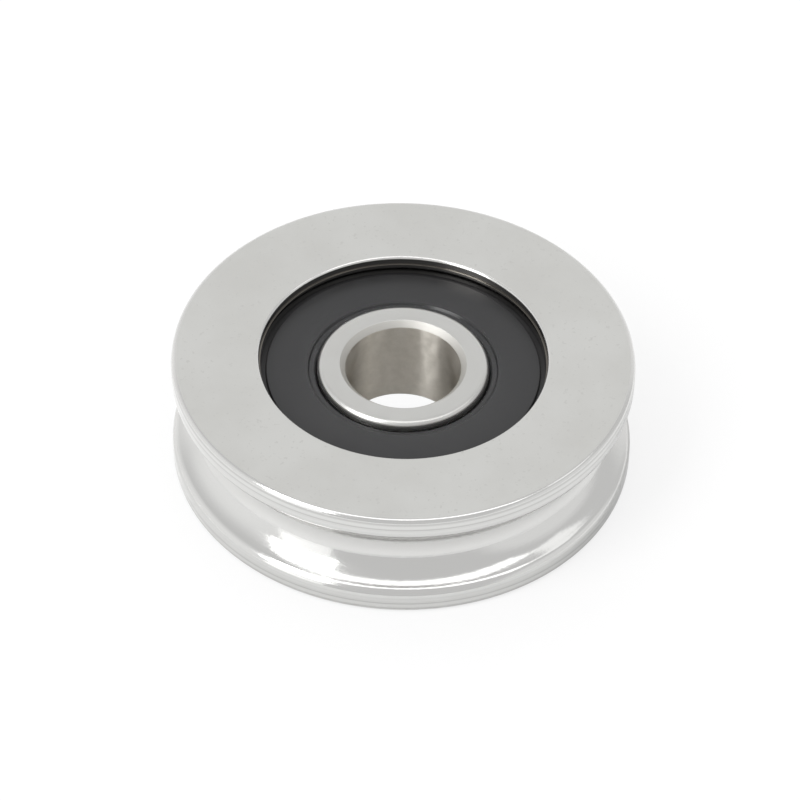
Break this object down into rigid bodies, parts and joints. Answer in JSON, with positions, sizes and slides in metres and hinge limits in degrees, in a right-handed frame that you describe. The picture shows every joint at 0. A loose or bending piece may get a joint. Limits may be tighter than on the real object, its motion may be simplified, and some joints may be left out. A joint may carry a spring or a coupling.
{
  "type": "u-groove bearing",
  "caption": "Sealed steel ball bearing with a round U-groove turned into the rim of its thick outer ring, to roll on a round rail or carry a rope.",
  "frame": {"origin": "centre of the bearing: on its axis of rotation, at the middle plane of the rings", "axes": "+Z along the axis of rotation; +X through the centre of the first ball"},
  "size_m": [0.04, 0.04, 0.011],
  "materials": {
    "outer_ring_steel": "ground satin side faces, polished rim and groove",
    "inner_ring_steel": "fine ground",
    "ball_steel": "polished",
    "cage_steel": "pressed sheet",
    "rivet_steel": "cold headed",
    "seal_rubber": "moulded, low sheen"
  },
  "bodies": {
    "inner_ring": {"inner_ring": "inner_ring_steel"},
    "outer_ring": {"outer_ring": "outer_ring_steel", "upper_seal": "seal_rubber", "lower_seal": "seal_rubber"},
    "cage": {"cage_half_upper": "cage_steel", "cage_half_lower": "cage_steel", "rivet_1": "rivet_steel", "rivet_2": "rivet_steel", "rivet_3": "rivet_steel", "rivet_4": "rivet_steel", "rivet_5": "rivet_steel", "rivet_6": "rivet_steel", "rivet_7": "rivet_steel", "rivet_8": "rivet_steel"},
    "ball_1": {"ball_1": "ball_steel"},
    "ball_2": {"ball_2": "ball_steel"},
    "ball_3": {"ball_3": "ball_steel"},
    "ball_4": {"ball_4": "ball_steel"},
    "ball_5": {"ball_5": "ball_steel"},
    "ball_6": {"ball_6": "ball_steel"},
    "ball_7": {"ball_7": "ball_steel"},
    "ball_8": {"ball_8": "ball_steel"}
  },
  "joints": [
    {"name": "outer_ring_spin", "type": "hinge", "parent": "inner_ring", "child": "outer_ring", "pos_m": [0, 0, 0], "axis": [0, 0, 1], "continuous": true},
    {"name": "cage_orbit", "type": "hinge", "parent": "inner_ring", "child": "cage", "pos_m": [0, 0, 0], "axis": [0, 0, 1], "continuous": true},
    {"name": "ball_1_roll", "type": "hinge", "parent": "cage", "child": "ball_1", "pos_m": [0.01, 0, 0], "axis": [0, 0, 1], "continuous": true},
    {"name": "ball_2_roll", "type": "hinge", "parent": "cage", "child": "ball_2", "pos_m": [0.00707, 0.00707, 0], "axis": [0, 0, 1], "continuous": true},
    {"name": "ball_3_roll", "type": "hinge", "parent": "cage", "child": "ball_3", "pos_m": [0, 0.01, 0], "axis": [0, 0, 1], "continuous": true},
    {"name": "ball_4_roll", "type": "hinge", "parent": "cage", "child": "ball_4", "pos_m": [-0.00707, 0.00707, 0], "axis": [0, 0, 1], "continuous": true},
    {"name": "ball_5_roll", "type": "hinge", "parent": "cage", "child": "ball_5", "pos_m": [-0.01, 0, 0], "axis": [0, 0, 1], "continuous": true},
    {"name": "ball_6_roll", "type": "hinge", "parent": "cage", "child": "ball_6", "pos_m": [-0.00707, -0.00707, 0], "axis": [0, 0, 1], "continuous": true},
    {"name": "ball_7_roll", "type": "hinge", "parent": "cage", "child": "ball_7", "pos_m": [0, -0.01, 0], "axis": [0, 0, 1], "continuous": true},
    {"name": "ball_8_roll", "type": "hinge", "parent": "cage", "child": "ball_8", "pos_m": [0.00707, -0.00707, 0], "axis": [0, 0, 1], "continuous": true}
  ],
  "couplings": [
    {"joint": "cage_orbit", "follows": "outer_ring_spin", "ratio": 0.61904},
    {"joint": "ball_1_roll", "follows": "outer_ring_spin", "ratio": 1.9811},
    {"joint": "ball_2_roll", "follows": "outer_ring_spin", "ratio": 1.9811},
    {"joint": "ball_3_roll", "follows": "outer_ring_spin", "ratio": 1.9811},
    {"joint": "ball_4_roll", "follows": "outer_ring_spin", "ratio": 1.9811},
    {"joint": "ball_5_roll", "follows": "outer_ring_spin", "ratio": 1.9811},
    {"joint": "ball_6_roll", "follows": "outer_ring_spin", "ratio": 1.9811},
    {"joint": "ball_7_roll", "follows": "outer_ring_spin", "ratio": 1.9811},
    {"joint": "ball_8_roll", "follows": "outer_ring_spin", "ratio": 1.9811}
  ]
}
